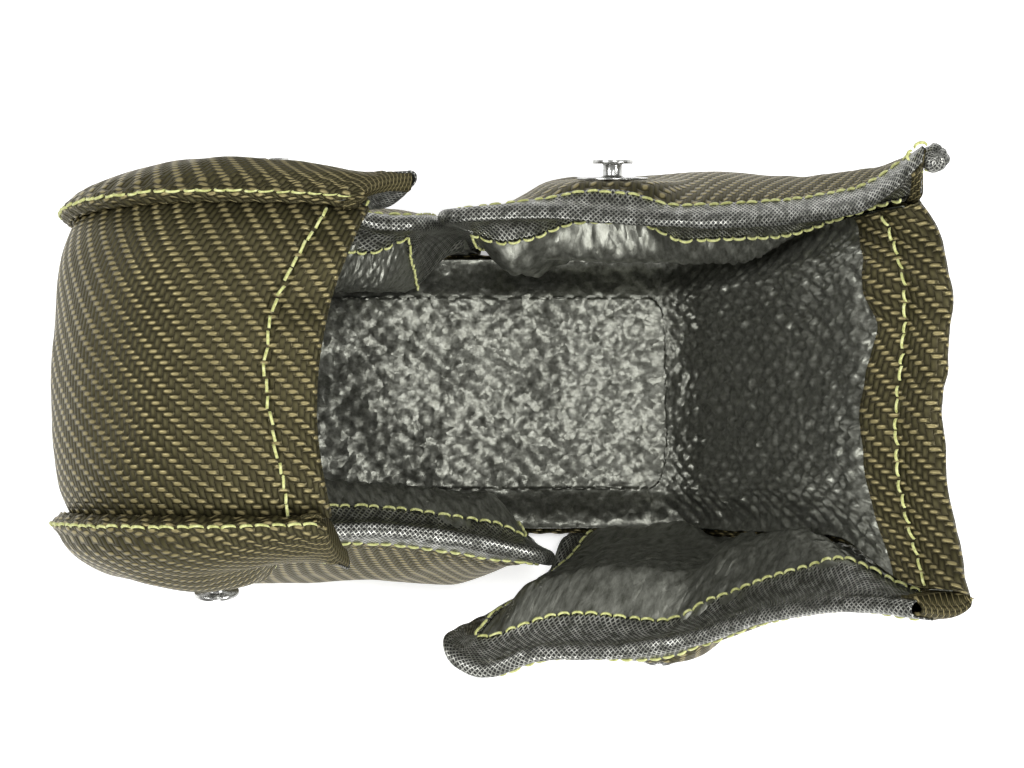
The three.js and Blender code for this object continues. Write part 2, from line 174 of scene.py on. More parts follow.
def left_end_at(v):
    return LEFT_END - LEFT_END_SKEW * v - LEFT_END_HOLLOW * v * v


def right_end_at(v):
    bend = RIGHT_END_SKEW * v - RIGHT_END_HOLLOW * v * v
    return RIGHT_END + bend + RIGHT_END_WAVE * np.sin(np.pi * v)


# The band's surface
def band_face(s, v):
    x, z, nx, nz = seam_at(s)
    crown = BAND_CROWN * mix(END_CROWN_SHARE, 1, smooth((RIGHT_END - s) / END_CROWN_OVER))
    rise = crown * (1 - np.abs(v) ** 5)
    return np.stack([x + nx * rise, across_at(s, v), np.maximum(z + nz * rise, 0)], -1)


def unit(vectors):
    return vectors / np.maximum(np.linalg.norm(vectors, axis=-1, keepdims=True), 1e-9)


def band_inward(s, v):
    along = band_face(s + 0.8, v) - band_face(s - 0.8, v)
    across = band_face(s, v + 0.02) - band_face(s, v - 0.02)
    return unit(np.cross(along, across))


def band_point(s, v, depth):
    return band_face(s, v) + band_inward(s, v) * depth[..., None]


def band_depth(s, v):
    from_seam = (1 - np.abs(v)) * BAND_WIDTH / 2
    from_end = np.minimum(s - left_end_at(v), right_end_at(v) - s)
    fill = smooth(from_seam / SEAM_TAPER) * smooth(from_end / END_TAPER)
    return THIN_QUILT + (BAND_MAT - THIN_MAT) * fill


def hung(point, dx, y, dz):
    return point[0] + dx, BAND_WIDTH / 2 + y, point[1] + dz


LEFT_HANG, RIGHT_HANG, ROOT = seam_at(LEFT_END), seam_at(RIGHT_END), seam_at(0)

PANELS = [
    {
        "name": "rear_left", "side": 1, "lip": 3, "belly": 8.2, "slit_belly": 0.5,
        "from": left_end_at(1) + END_INSET, "to": -10.7,
        "edge": [
            hung(LEFT_HANG, 26, 9, -6), hung(LEFT_HANG, 18, 5, -16), hung(LEFT_HANG, 8, 6, -25),
            hung(LEFT_HANG, 1, 6, -37), hung(ROOT, -47, 5, 59), hung(ROOT, -38, 4, 54),
            hung(ROOT, -26.5, 4, 53),
        ],
        "along": 90.6, "inset": 23, "tilt": 11,
    },
    {
        "name": "front_left", "side": -1, "lip": 4, "belly": 12, "slit_belly": 0.15,
        "from": left_end_at(-1) + END_INSET, "to": 5,
        "edge": [
            hung(LEFT_HANG, 9, 6, -9), hung(LEFT_HANG, -4, -1, -21), hung(LEFT_HANG, -11, 3, -31),
            hung(LEFT_HANG, -12, 3, -42), hung(ROOT, -58, 0, 58), hung(ROOT, -38, -1, 55),
            hung(ROOT, -14, 2, 53), hung(ROOT, 13, 8, 42),
        ],
        "along": 82, "inset": 18.5, "tilt": -15,
    },
    {
        "name": "rear_right", "side": 1, "lip": 3, "belly": 19, "slit_belly": 0.15,
        "from": right_end_at(1) - END_INSET, "to": -6.4,
        "edge": [
            hung(RIGHT_HANG, -5, 11, 10), hung(RIGHT_HANG, -15, 2, -3), hung(RIGHT_HANG, -28, 1, -23),
            hung(RIGHT_HANG, -41, 2, -38), hung(RIGHT_HANG, -56, 3, -48), hung(ROOT, 34, 5, 59),
            hung(ROOT, 12, 7, 56), hung(ROOT, -22.5, 6, 55),
        ],
        "along": 136, "inset": 20.5, "tilt": 11,
    },
    {
        "name": "front_right", "side": -1, "lip": 3, "belly": 12, "slit_belly": 0.5,
        "from": right_end_at(-1) - END_INSET, "to": 21.5,
        "edge": [
            hung(RIGHT_HANG, -7, 17.2, 6), hung(RIGHT_HANG, -22, 17, -11),
            hung(RIGHT_HANG, -43, 22.5, -35), hung(RIGHT_HANG, -59, 30, -49), hung(ROOT, 31, 34, 57),
            hung(ROOT, 7, 35, 54), hung(ROOT, -9, 39.5, 56), hung(ROOT, -22, 32.5, 56),
        ],
        "along": 106.6, "inset": 34.5, "tilt": -19,
    },
]


def smooth_line(points, share):
    """A centripetal Catmull-Rom curve through the points, at shares of its index from 0 to 1."""
    points = np.array(points, float)
    ends = [2 * points[0] - points[1]], [2 * points[-1] - points[-2]]
    padded = np.concatenate([ends[0], points, ends[1]])
    place = np.clip(share, 0, 1) * (len(points) - 1)
    first = np.minimum(np.floor(place).astype(int), len(points) - 2)
    w = (place - first)[..., None]
    p0, p1, p2, p3 = (padded[first + k] for k in range(4))
    pairs = ((p0, p1), (p1, p2), (p2, p3))
    d0, d1, d2 = (np.linalg.norm(b - a, axis=-1, keepdims=True) ** 0.5 for a, b in pairs)
    t1 = ((p1 - p0) / d0 - (p2 - p0) / (d0 + d1) + (p2 - p1) / d1) * d1
    t2 = ((p2 - p1) / d1 - (p3 - p1) / (d1 + d2) + (p3 - p2) / d2) * d1
    return p1 + w * t1 + w**2 * (3 * (p2 - p1) - 2 * t1 - t2) + w**3 * (2 * (p1 - p2) + t1 + t2)


class Panel:
    """A side panel's surface.

    u runs along the seam from the mouth to the slit, and t from the seam to the free edge."""

    def __init__(self, given):
        self.__dict__.update(given)
        self.start, self.stop = given["from"], given["to"]
        self.span = abs(self.stop - self.start)
        self.reach = np.linalg.norm(self.ruled(1.0, 0.8) - self.ruled(0.95, 0.8)) / 0.05
        u = self.along / self.span
        self.seat = self.ruled(u, 1 - self.inset / self.length(u))
        tilt = math.radians(self.tilt)
        self.lean = np.array([0, math.cos(tilt), math.sin(tilt)])
        self.edge_length = self.measure()

    def measure(self):
        line = smooth_line(self.edge, np.linspace(0, 1, 400))
        return np.linalg.norm(np.diff(line, axis=0), axis=1).sum()

    def ruled(self, u, t):
        u, t = np.broadcast_arrays(np.asarray(u, float), np.asarray(t, float))
        held = np.clip(u, 0, 1)
        s = mix(self.start, self.stop, u)
        x, z, nx, nz = seam_at(s)
        free = smooth_line(self.edge, held)
        ahead = np.where(u > 1, (u - 1) / 0.02, 0)[..., None]
        free = free + ahead * (free - smooth_line(self.edge, np.full_like(u, 0.98)))
        behind = np.where(u < 0, -u / 0.02, 0)[..., None]
        free = free + behind * (free - smooth_line(self.edge, np.full_like(u, 0.02)))
        top = self.side * across_at(s, self.side) + SEAM_CLEARANCE + THIN_QUILT
        foot = np.stack([x + nx * self.lip, top, np.maximum(z + nz * self.lip, FLOOR_GAP)], -1)
        relax = mix(self.slit_belly, 1, smooth((1 - held) * self.span / SLIT_RELAX))
        full = smooth(np.linalg.norm(free - foot, axis=-1) / FULL_BELLY)
        lift = np.clip(t, 0, 1.02) ** (math.log(0.5) / math.log(BELLY_PEAK))
        point = foot + (free - foot) * t[..., None]
        point[..., 1] += self.belly * relax * full * np.sin(np.pi * lift)
        return point

    def length(self, u):
        u = np.minimum(u, 1)
        return np.linalg.norm(self.ruled(u, 0) - self.ruled(u, 1), axis=-1)

    def face(self, u, t):
        p = self.ruled(u, t)
        dx, dz = p[..., 0] - self.seat[0], p[..., 2] - self.seat[2]
        flat = self.seat[1] - (dx * self.lean[0] + dz * self.lean[2]) / self.lean[1]
        pressed = 1 - smooth((np.hypot(dx, dz) - SEAT_FLAT) / (SEAT_BLEND - SEAT_FLAT))
        pressed = pressed * smooth((1 - t) * self.length(u) / SEAT_MARGIN)
        p[..., 1] = mix(p[..., 1], flat, pressed)
        return p

    def depth(self, u, t):
        p = self.ruled(u, t)
        beside = smooth((seam_distance(p[..., 0], p[..., 2]) - RISE_FROM) / RISE_OVER)
        slit, mouth = self.ruled(1, t), self.ruled(0, t)
        ends = [np.hypot(p[..., 0] - q[..., 0], p[..., 2] - q[..., 2]) for q in (slit, mouth)]
        fill = beside * smooth((1 - t) * self.length(u) / EDGE_TAPER)
        fill = fill * smooth(ends[0] / SLIT_TAPER) * smooth(ends[1] / MOUTH_TAPER)
        standoff = np.maximum(p[..., 1] - self.ruled(u, np.zeros_like(t))[..., 1], 0)
        return THIN_QUILT + (PANEL_MAT - THIN_MAT) * fill + standoff * (1 - beside)

    def point(self, u, t, inwards):
        u, t, inwards = np.broadcast_arrays(*(np.asarray(a, float) for a in (u, t, inwards)))
        p = self.face(u, t)
        p[..., 1] = self.side * (p[..., 1] - inwards)
        return p

    def rounded(self, from_slit, from_edge):
        """Rounds the free corner: distances from the slit and from the free edge, pulled in to a disc."""
        x, y = np.maximum(CORNER - from_slit, 0), np.maximum(CORNER - from_edge, 0)
        share = np.maximum(x, y) / np.maximum(np.hypot(x, y), 1e-9)
        share = np.where((x > 0) & (y > 0), share, 1)
        return from_slit + x * (1 - share), from_edge + y * (1 - share)

    def pulled(self, u, t):
        length = self.length(u)
        a, b = self.rounded((1 - u) * self.reach, (1 - t) * length)
        near = (1 - u) * self.reach < CORNER
        return np.where(near, 1 - a / self.reach, u), np.where(near, 1 - b / length, t)


# Meshes
def link(name, mesh):
    obj = bpy.data.objects.new(name, mesh)
    bpy.context.scene.collection.objects.link(obj)
    return obj


def grid_piece(name, points, outward, weave, wall):
    """A sheet from a grid of points in millimetres, facing outward, with a wall behind it.

    weave holds each point's place on the flat cloth, which the materials read."""
    rows, columns = points.shape[:2]
    index = np.arange(rows * columns).reshape(rows, columns)
    faces = np.stack([index[:-1, :-1], index[1:, :-1], index[1:, 1:], index[:-1, 1:]], -1).reshape(-1, 4)
    flat = points.reshape(-1, 3)
    normals = np.cross(flat[faces[:, 2]] - flat[faces[:, 0]], flat[faces[:, 3]] - flat[faces[:, 1]])
    if (normals * outward.reshape(-1, 3)[faces[:, 0]]).sum() < 0:
        faces = faces[:, ::-1]
    mesh = bpy.data.meshes.new(name)
    mesh.vertices.add(len(flat))
    mesh.vertices.foreach_set("co", (flat * MM).astype(np.float32).ravel())
    mesh.loops.add(faces.size)
    mesh.loops.foreach_set("vertex_index", faces.astype(np.int32).ravel())
    mesh.polygons.add(len(faces))
    mesh.polygons.foreach_set("loop_start", np.arange(0, faces.size, 4, dtype=np.int32))
    mesh.polygons.foreach_set("loop_total", np.full(len(faces), 4, np.int32))
    mesh.update(calc_edges=True)
    laid = mesh.attributes.new("weave", "FLOAT_VECTOR", "POINT")
    laid.data.foreach_set("vector", np.ascontiguousarray(weave, np.float32).ravel())
    piece = link(name, mesh)
    select(piece)
    bpy.ops.object.mode_set(mode="EDIT")
    bpy.ops.mesh.select_all(action="SELECT")
    bpy.ops.mesh.remove_doubles(threshold=0.00001)
    bpy.ops.object.mode_set(mode="OBJECT")
    if wall:
        thick = piece.modifiers.new("wall", "SOLIDIFY")
        thick.thickness, thick.offset = wall * MM, -1
        bpy.ops.object.modifier_apply(modifier=thick.name)
    bpy.ops.object.shade_smooth()
    return piece


def select(piece):
    bpy.ops.object.select_all(action="DESELECT")
    piece.select_set(True)
    bpy.context.view_layer.objects.active = piece


def flat_place(along, across, level=0.0):
    along, across, level = np.broadcast_arrays(along, across, level)
    return np.stack([along, across, level], -1)


def finish_piece(piece, material, slot, *nodes):
    piece.data.materials.clear()
    piece.data.materials.append(material)
    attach(piece, "root")
    if nodes:
        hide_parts(*nodes)
    return piece


def steps(length, pitch):
    return np.linspace(0, 1, max(2, int(round(length / pitch)) + 1))


# Materials
def colour(code):
    """An sRGB hex value as linear RGBA."""
    parts = [int(code[k : k + 2], 16) / 255 for k in (1, 3, 5)]
    return [p / 12.92 if p <= 0.04045 else ((p + 0.055) / 1.055) ** 2.4 for p in parts] + [1.0]


def add(tree, kind, inputs=(), **settings):
    """Adds a node, sets its properties, and sets or links its inputs."""
    made = tree.nodes.new("ShaderNode" + kind)
    for key, value in settings.items():
        setattr(made, key, value)
    for key, value in dict(inputs).items():
        if isinstance(value, bpy.types.NodeSocket):
            tree.links.new(value, made.inputs[key])
        else:
            made.inputs[key].default_value = value
    return made


def new_material(name):
    material = bpy.data.materials.new(name)
    material.use_nodes = True
    tree = material.node_tree
    return material, tree, tree.nodes["Principled BSDF"]


def ramp(tree, share, *stops):
    made = add(tree, "ValToRGB", {"Fac": share})
    elements = made.color_ramp.elements
    for element, (place, code) in zip(elements, (stops[0], stops[-1])):
        element.position, element.color = place, colour(code)
    for place, code in stops[1:-1]:
        elements.new(place).color = colour(code)
    return made.outputs["Color"]


def mineral_twill():
    """2/2 twill of mineral filament yarn: glossy floats in diagonal ribs, on a ground darkened with painted
    shade.
    """
    material, tree, shader = new_material("mineral_fibre_twill")
    place = add(tree, "Attribute", attribute_name="weave").outputs["Vector"]
    parts = add(tree, "SeparateXYZ", {0: place})
    along = add(tree, "Math", {0: parts.outputs[0], 1: YARN}, operation="DIVIDE").outputs[0]
    across = add(tree, "Math", {0: parts.outputs[1], 1: YARN}, operation="DIVIDE").outputs[0]
    column = add(tree, "Math", {0: along}, operation="FLOOR").outputs[0]
    row = add(tree, "Math", {0: across}, operation="FLOOR").outputs[0]
    both = add(tree, "Math", {0: column, 1: row}).outputs[0]
    step = add(tree, "Math", {0: both, 1: 4.0}, operation="FLOORED_MODULO").outputs[0]
    weft_up = add(tree, "Math", {0: step, 1: 1.5}, operation="LESS_THAN").outputs[0]
    weft_run = add(tree, "Math", {0: along, 1: row}).outputs[0]
    weft_turn = add(tree, "Math", {0: weft_run, 1: 4.0}, operation="FLOORED_MODULO").outputs[0]
    weft_phase = add(tree, "Math", {0: weft_turn, 1: math.pi / 2}, operation="MULTIPLY").outputs[0]
    weft_arch = add(tree, "Math", {0: weft_phase}, operation="SINE").outputs[0]
    warp_run = add(tree, "Math", {0: across, 1: column}).outputs[0]
    warp_turn = add(tree, "Math", {0: warp_run, 1: 4.0}, operation="FLOORED_MODULO").outputs[0]
    warp_phase = add(tree, "Math", {0: warp_turn, 1: math.pi / 2}, operation="MULTIPLY").outputs[0]
    warp_sine = add(tree, "Math", {0: warp_phase}, operation="SINE").outputs[0]
    warp_arch = add(tree, "Math", {0: warp_sine}, operation="ABSOLUTE").outputs[0]
    weft_part = add(tree, "Math", {0: across}, operation="FRACT").outputs[0]
    weft_bend = add(tree, "Math", {0: weft_part, 1: math.pi}, operation="MULTIPLY").outputs[0]
    weft_round = add(tree, "Math", {0: weft_bend}, operation="SINE").outputs[0]
    warp_part = add(tree, "Math", {0: along}, operation="FRACT").outputs[0]
    warp_bend = add(tree, "Math", {0: warp_part, 1: math.pi}, operation="MULTIPLY").outputs[0]
    warp_round = add(tree, "Math", {0: warp_bend}, operation="SINE").outputs[0]
    weft = add(tree, "Math", {0: weft_arch, 1: weft_round}, operation="MULTIPLY").outputs[0]
    warp = add(tree, "Math", {0: warp_arch, 1: warp_round}, operation="MULTIPLY").outputs[0]
    low_warp = add(tree, "Math", {0: warp, 1: 0.7}, operation="MULTIPLY").outputs[0]
    height = add(tree, "Mix", {0: weft_up, 2: low_warp, 3: weft}).outputs[0]
    raised = add(tree, "Math", {0: height, 1: 0.6}, operation="POWER").outputs[0]
    worn = add(tree, "TexNoise", {"Vector": place, "Scale": 0.06, "Detail": 4.0, "Roughness": 0.6})
    patch = add(tree, "Math", {0: worn.outputs["Fac"], 1: 0.35}, operation="MULTIPLY").outputs[0]
    tone = add(tree, "Math", {0: raised, 1: patch}).outputs[0]
    # Colour follows yarn height: painted shade darkens the hollows between the yarns, and the weft ramp's
    # light top end adds a painted highlight on the float crowns over the yarn's own olive colour.
    weft_colour_shade_and_highlight = ramp(tree, tone, (0.3, "#17150c"), (0.78, "#3d3926"), (1.0, "#857b57"))
    warp_colour_and_painted_shade = ramp(tree, tone, (0.25, "#12110a"), (0.7, "#2a2818"), (1.0, "#3d3a25"))
    yarn = add(tree, "Mix", {0: weft_up, 6: warp_colour_and_painted_shade, 7: weft_colour_shade_and_highlight}, data_type="RGBA").outputs[2]
    gloss = add(tree, "MapRange", {0: weft_up, 3: 0.52, 4: 0.34}).outputs[0]
    bump = add(tree, "Bump", {"Height": raised, "Distance": 0.00042, "Strength": 0.9})
    tree.links.new(yarn, shader.inputs["Base Color"])
    tree.links.new(gloss, shader.inputs["Roughness"])
    tree.links.new(bump.outputs[0], shader.inputs["Normal"])
    shader.inputs["Specular IOR Level"].default_value = 0.6
    shader.inputs["Specular Tint"].default_value = colour("#f5e7b4")
    shader.inputs["Metallic"].default_value = 0.2
    return material


def crinkled_foil():
    """Embossed aluminium foil on glass cloth: creased facets, dull pewter with bright glints."""
    material, tree, shader = new_material("embossed_aluminium_foil")
    place = add(tree, "Attribute", attribute_name="weave").outputs["Vector"]
    drift = add(tree, "TexNoise", {"Vector": place, "Scale": 0.16, "Detail": 2.0})
    shift = add(tree, "VectorMath", {0: drift.outputs["Color"], 3: 5.0}, operation="SCALE").outputs[0]
    moved = add(tree, "VectorMath", {0: place, 1: shift}).outputs[0]
    heights = []
    for scale, gain in ((0.34, 1.0), (0.62, 0.5)):
        placed = {"Vector": moved, "Scale": scale, "Randomness": 0.9}
        cell = add(tree, "TexVoronoi", placed, voronoi_dimensions="2D")
        middle = {0: cell.outputs["Color"], 1: (0.5, 0.5, 0.5)}
        centred = add(tree, "VectorMath", middle, operation="SUBTRACT")
        centre = cell.outputs["Position"]
        away = add(tree, "VectorMath", {0: moved, 1: centre}, operation="SUBTRACT").outputs[0]
        tilted = add(tree, "VectorMath", {0: centred.outputs[0], 1: away}, operation="DOT_PRODUCT")
        plane = tilted.outputs["Value"]
        heights.append(add(tree, "Math", {0: plane, 1: gain}, operation="MULTIPLY").outputs[0])
    relief = add(tree, "Math", {0: heights[0], 1: heights[1]}).outputs[0]
    bump = add(tree, "Bump", {"Height": relief, "Distance": 0.00022, "Strength": 0.9})
    dull = add(tree, "TexNoise", {"Vector": place, "Scale": 0.5, "Detail": 5.0, "Roughness": 0.7})
    tarnish = ramp(tree, dull.outputs["Fac"], (0.3, "#55564d"), (0.7, "#92938a"))
    rough = add(tree, "MapRange", {0: dull.outputs["Fac"], 3: 0.28, 4: 0.42}).outputs[0]
    tree.links.new(tarnish, shader.inputs["Base Color"])
    tree.links.new(rough, shader.inputs["Roughness"])
    tree.links.new(bump.outputs[0], shader.inputs["Normal"])
    shader.inputs["Metallic"].default_value = 0.8
    return material


def knitted_wire():
    """Knitted stainless wire mesh: bright wire loops, with painted shade darkening the gaps between them.
    """
    material, tree, shader = new_material("knitted_stainless_wire")
    place = add(tree, "Attribute", attribute_name="weave").outputs["Vector"]
    parts = add(tree, "SeparateXYZ", {0: place})
    lean = add(tree, "Math", {0: parts.outputs[0], 1: parts.outputs[1]}).outputs[0]
    back = add(tree, "Math", {0: parts.outputs[0], 1: parts.outputs[1]}, operation="SUBTRACT").outputs[0]
    wires = []
    for line in (lean, back):
        turn = add(tree, "Math", {0: line, 1: math.pi / 1.5}, operation="MULTIPLY").outputs[0]
        wave = add(tree, "Math", {0: turn}, operation="SINE").outputs[0]
        wires.append(add(tree, "Math", {0: wave}, operation="ABSOLUTE").outputs[0])
    knit = add(tree, "Math", {0: wires[0], 1: wires[1]}, operation="MAXIMUM").outputs[0]
    sharp = add(tree, "MapRange", {0: knit, 1: 0.72, 2: 0.97}, interpolation_type="SMOOTHSTEP").outputs[0]
    patch = add(tree, "TexNoise", {"Vector": place, "Scale": 0.35, "Detail": 3.0}).outputs["Fac"]
    wire_and_gap_shade = add(tree, "Math", {0: sharp, 1: patch}, operation="MULTIPLY").outputs[0]
    # The near-black low end of this ramp is painted shade in the gaps between the wire loops; the noise
    # patch varies the wires' tone at random.
    tone = ramp(tree, wire_and_gap_shade, (0.08, "#171714"), (0.34, "#66675f"), (0.68, "#c4c4bd"))
    bump = add(tree, "Bump", {"Height": sharp, "Distance": 0.0003, "Strength": 0.8})
    tree.links.new(tone, shader.inputs["Base Color"])
    tree.links.new(sharp, shader.inputs["Metallic"])
    tree.links.new(bump.outputs[0], shader.inputs["Normal"])
    shader.inputs["Roughness"].default_value = 0.38
    return material


def aramid_thread():
    """Twisted aramid sewing thread: pale yellow-green, matt, with a fine lay along it."""
    material, tree, shader = new_material("aramid_sewing_thread")
    place = add(tree, "TexCoord").outputs["Object"]
    fuzz = add(tree, "TexNoise", {"Vector": place, "Scale": 900.0, "Detail": 3.0}).outputs["Fac"]
    tone = ramp(tree, fuzz, (0.3, "#9c9f58"), (0.55, "#c9cc86"), (0.75, "#e2e3ac"))
    bump = add(tree, "Bump", {"Height": fuzz, "Distance": 0.0002, "Strength": 0.6})
    tree.links.new(tone, shader.inputs["Base Color"])
    tree.links.new(bump.outputs[0], shader.inputs["Normal"])
    shader.inputs["Roughness"].default_value = 0.62
    shader.inputs["Sheen Weight"].default_value = 0.2
    return material


def turned_steel():
    """Stainless steel, turned and stamped: bright with faint scratches and a little grime."""
    material, tree, shader = new_material("turned_stainless_steel")
    place = add(tree, "TexCoord").outputs["Object"]
    scratches = {"Vector": place, "Scale": 700.0, "Detail": 6.0, "Roughness": 0.7}
    grain = add(tree, "TexNoise", scratches).outputs["Fac"]
    tone = ramp(tree, grain, (0.3, "#8f8f8c"), (0.7, "#d6d6d3"))
    rough = add(tree, "MapRange", {0: grain, 3: 0.16, 4: 0.34}).outputs[0]
    bump = add(tree, "Bump", {"Height": grain, "Distance": 0.00003, "Strength": 0.5})
    tree.links.new(tone, shader.inputs["Base Color"])
    tree.links.new(rough, shader.inputs["Roughness"])
    tree.links.new(bump.outputs[0], shader.inputs["Normal"])
    shader.inputs["Metallic"].default_value = 1.0
    return material


def white_floor():
    """Painted studio board: plain white to the camera and in reflections, and it keeps the shadow."""
    material, tree, shader = new_material("painted_studio_board")
    path = add(tree, "LightPath")
    direct = {0: path.outputs["Is Camera Ray"], 1: path.outputs["Is Glossy Ray"]}
    seen = add(tree, "Math", direct, operation="MAXIMUM")
    through = {0: seen.outputs[0], 1: path.outputs["Is Transmission Ray"]}
    clear = add(tree, "Math", through, operation="MAXIMUM")
    glow = add(tree, "Math", {0: clear.outputs[0], 1: 0.45}, operation="MULTIPLY").outputs[0]
    place = add(tree, "TexCoord").outputs["Object"]
    speck = add(tree, "TexNoise", {"Vector": place, "Scale": 60.0}).outputs["Fac"]
    tree.links.new(ramp(tree, speck, (0.0, "#f2f2f2"), (1.0, "#f7f7f7")), shader.inputs["Base Color"])
    tree.links.new(glow, shader.inputs["Emission Strength"])
    shader.inputs["Emission Color"].default_value = (1, 1, 1, 1)
    shader.inputs["Roughness"].default_value = 0.9
    shader.inputs["Specular IOR Level"].default_value = 0.1
    return material


TWILL = mineral_twill()
FOIL_FACE = crinkled_foil()
WIRE = knitted_wire()
YELLOW = aramid_thread()
STEEL = turned_steel()


# Thread
def thread_line(name, line, out, wander=0.25, seed=1):
    """A row of stitches along a line in millimetres. out points away from the cloth at each point."""
    run = np.concatenate([[0], np.cumsum(np.linalg.norm(np.diff(line, axis=0), axis=1))])
    count = max(int(run[-1] / (STITCH + STITCH_GAP)), 1)
    rings, sides = 6, 6
    share = np.linspace(0, 1, rings)
    angles = np.arange(sides) * 2 * math.pi / sides
    vertices, faces = [], []
    for k in range(count):
        begin = (k + 0.04 * math.sin(k * 7.1 + seed)) * run[-1] / count
        at = begin + share * (STITCH + 0.5 * math.sin(k * 3.3 + seed))
        at = np.clip(at, 0, run[-1])
        centre = np.stack([np.interp(at, run, line[:, a]) for a in range(3)], -1)
        away = unit(np.stack([np.interp(at, run, out[:, a]) for a in range(3)], -1))
        tangent = unit(np.gradient(centre, axis=0) + 1e-6)
        aside = unit(np.cross(tangent, away))
        sway = wander * (chance(k, seed, 3) - 0.5) * 2
        swing = wander * (chance(k, seed, 4) - 0.5) * 2
        centre = centre + aside * mix(sway, swing, share)[:, None]
        lift = THREAD * (1.3 * np.sin(np.pi * share) ** 0.5 - 0.6)
        centre = centre + away * lift[:, None]
        centre[:, 2] = np.maximum(centre[:, 2], THREAD + 0.05)
        first = len(vertices)
        for c, a, b in zip(centre, away, aside):
            vertices += [c + THREAD * (a * math.sin(w) + b * math.cos(w)) for w in angles]
        for ring in range(rings - 1):
            for side in range(sides):
                a, b = first + ring * sides + side, first + ring * sides + (side + 1) % sides
                faces.append((a, b, b + sides, a + sides))
        faces.append(tuple(first + side for side in range(sides))[::-1])
        faces.append(tuple(first + (rings - 1) * sides + side for side in range(sides)))
    mesh = bpy.data.meshes.new(name)
    mesh.from_pydata([tuple(p * MM) for p in vertices], [], faces)
    piece = link(name, mesh)
    select(piece)
    bpy.ops.object.mode_set(mode="EDIT")
    bpy.ops.mesh.select_all(action="SELECT")
    bpy.ops.mesh.normals_make_consistent(inside=False)
    bpy.ops.object.mode_set(mode="OBJECT")
    bpy.ops.object.shade_smooth()
    return finish_piece(piece, YELLOW, "mineral_cloth")


def panel_out(panel, u, t):
    """The panel's outward direction."""
    du = panel.point(u + 0.004, t, 0) - panel.point(u - 0.004, t, 0)
    dt = panel.point(u, t + 0.01, 0) - panel.point(u, t - 0.01, 0)
    normal = unit(np.cross(du, dt))
    return normal * np.sign(normal[..., 1] * panel.side)[..., None]


# Band


def puckers(distance, along):
    """Dimples that a row of stitches pulls into the cloth beside it."""
    phase = 2 * math.pi * along / PUCKER_PITCH + 1.5 * ripple(along / 17, 0, 5)
    return PUCKER_DEEP * np.exp(-((distance / PUCKER_WIDE) ** 2)) * np.sin(phase)


def band_cloth():
    inside_left, inside_right, turn = LEFT_HEM, RIGHT_HEM, math.pi * FOLD
    length = RIGHT_END - LEFT_END
    total = inside_left + turn + length + turn + inside_right
    w = steps(total, CLOTH_PITCH)[:, None] * total - inside_left - turn
    v = np.sin((steps(BAND_WIDTH, CLOTH_PITCH) - 0.5) * math.pi * 0.96) / math.sin(0.48 * math.pi)
    w, v = np.broadcast_arrays(w, v[None, :])
    start, stop = left_end_at(v), right_end_at(v)
    body = np.clip(w, 0, length)
    s = start + body * (stop - start) / length
    left_angle = np.clip(-w / FOLD, 0, math.pi)
    right_angle = np.clip((w - length) / FOLD, 0, math.pi)
    angle = np.maximum(left_angle, right_angle)
    left_in = np.maximum(-w - turn, 0)
    right_in = np.maximum(w - length - turn, 0)
    ragged = 1 + 0.16 * ripple(4.2 * v, 0.5, 33)
    s = s - FOLD * np.sin(left_angle) + FOLD * np.sin(right_angle) + left_in - right_in * ragged
    inner = (left_in > 0) | (right_in > 0)
    depth = np.where(inner, band_depth(s, v) + GAP + SKIN + 0.7, FOLD * (1 - np.cos(angle)))
    depth = np.where(inner & (right_in > 0), depth + 0.5 * smooth(right_in / 3), depth)
    inside = smooth((angle - 1.2) / 0.8)
    y = across_at(s, v)
    from_seam = (1 - np.abs(v)) * BAND_WIDTH / 2
    from_left, from_right = s - start, stop - s
    wrinkle = 0.7 * ripple(s / 31, y / 24, 2) + 0.3 * ripple(s / 11, y / 8, 3)
    hem = np.maximum(smooth(1 - from_left / 24), smooth(1 - from_right / 30))
    wave = 1.3 * ripple(y / 9.5, s / 60, 7) + 0.5 * ripple(y / 4.1, s / 20, 8)
    groove_left = np.exp(-(((from_left - hem_stitch(y)) / 1.7) ** 2))
    groove_right = np.exp(-(((from_right - RIGHT_STITCH) / 1.9) ** 2))
    push = wrinkle * smooth(from_seam / 10) * (1 - inside) + wave * hem * smooth(from_seam / 4)
    push = push - 0.8 * (groove_left * (1 - inside) - groove_right * inside)
    push = push - 0.5 * groove_right * (1 - inside)
    push = push + puckers(from_seam, s) + 0.4 * hem * puckers(from_left - 10, y)
    points = band_face(s, v) + band_inward(s, v) * (depth - push)[..., None]
    away = band_inward(s, v) * np.where(angle > math.pi / 2, 1, -1)[..., None]
    points[..., 2] = np.maximum(points[..., 2], 0.15)
    piece = grid_piece("band_cloth_woven", points, away, flat_place(-w, y), SKIN)
    finish_piece(piece, TWILL, "mineral_cloth", "band_cloth", "band_insulation")
    return piece


def hem_stitch(y):
    """How far the left hem's stitches lie from its edge."""
    return 10.5 + 1.6 * np.sin(y / 13 + 0.6)


def crumple(along, across, seed, size):
    """How far foil that is creased into facets stands out."""
    bent_a = along + 1.5 * ripple(along / 9, across / 9, seed + 20)
    bent_b = across + 1.5 * ripple(along / 9, across / 9, seed + 21)
    one, other = (bent_a + 1.3 * bent_b) / (2 * size), (bent_a - 1.3 * bent_b) / (2 * size)
    pillow = np.abs(np.sin(np.pi * one) * np.sin(np.pi * other)) ** 0.7
    big = facets(one / 1.7, other / 2.2, seed)
    small = facets(bent_a / size, bent_b / (size * 0.8), seed + 7)
    return size * (0.2 * pillow + 0.14 * big + 0.12 * small)


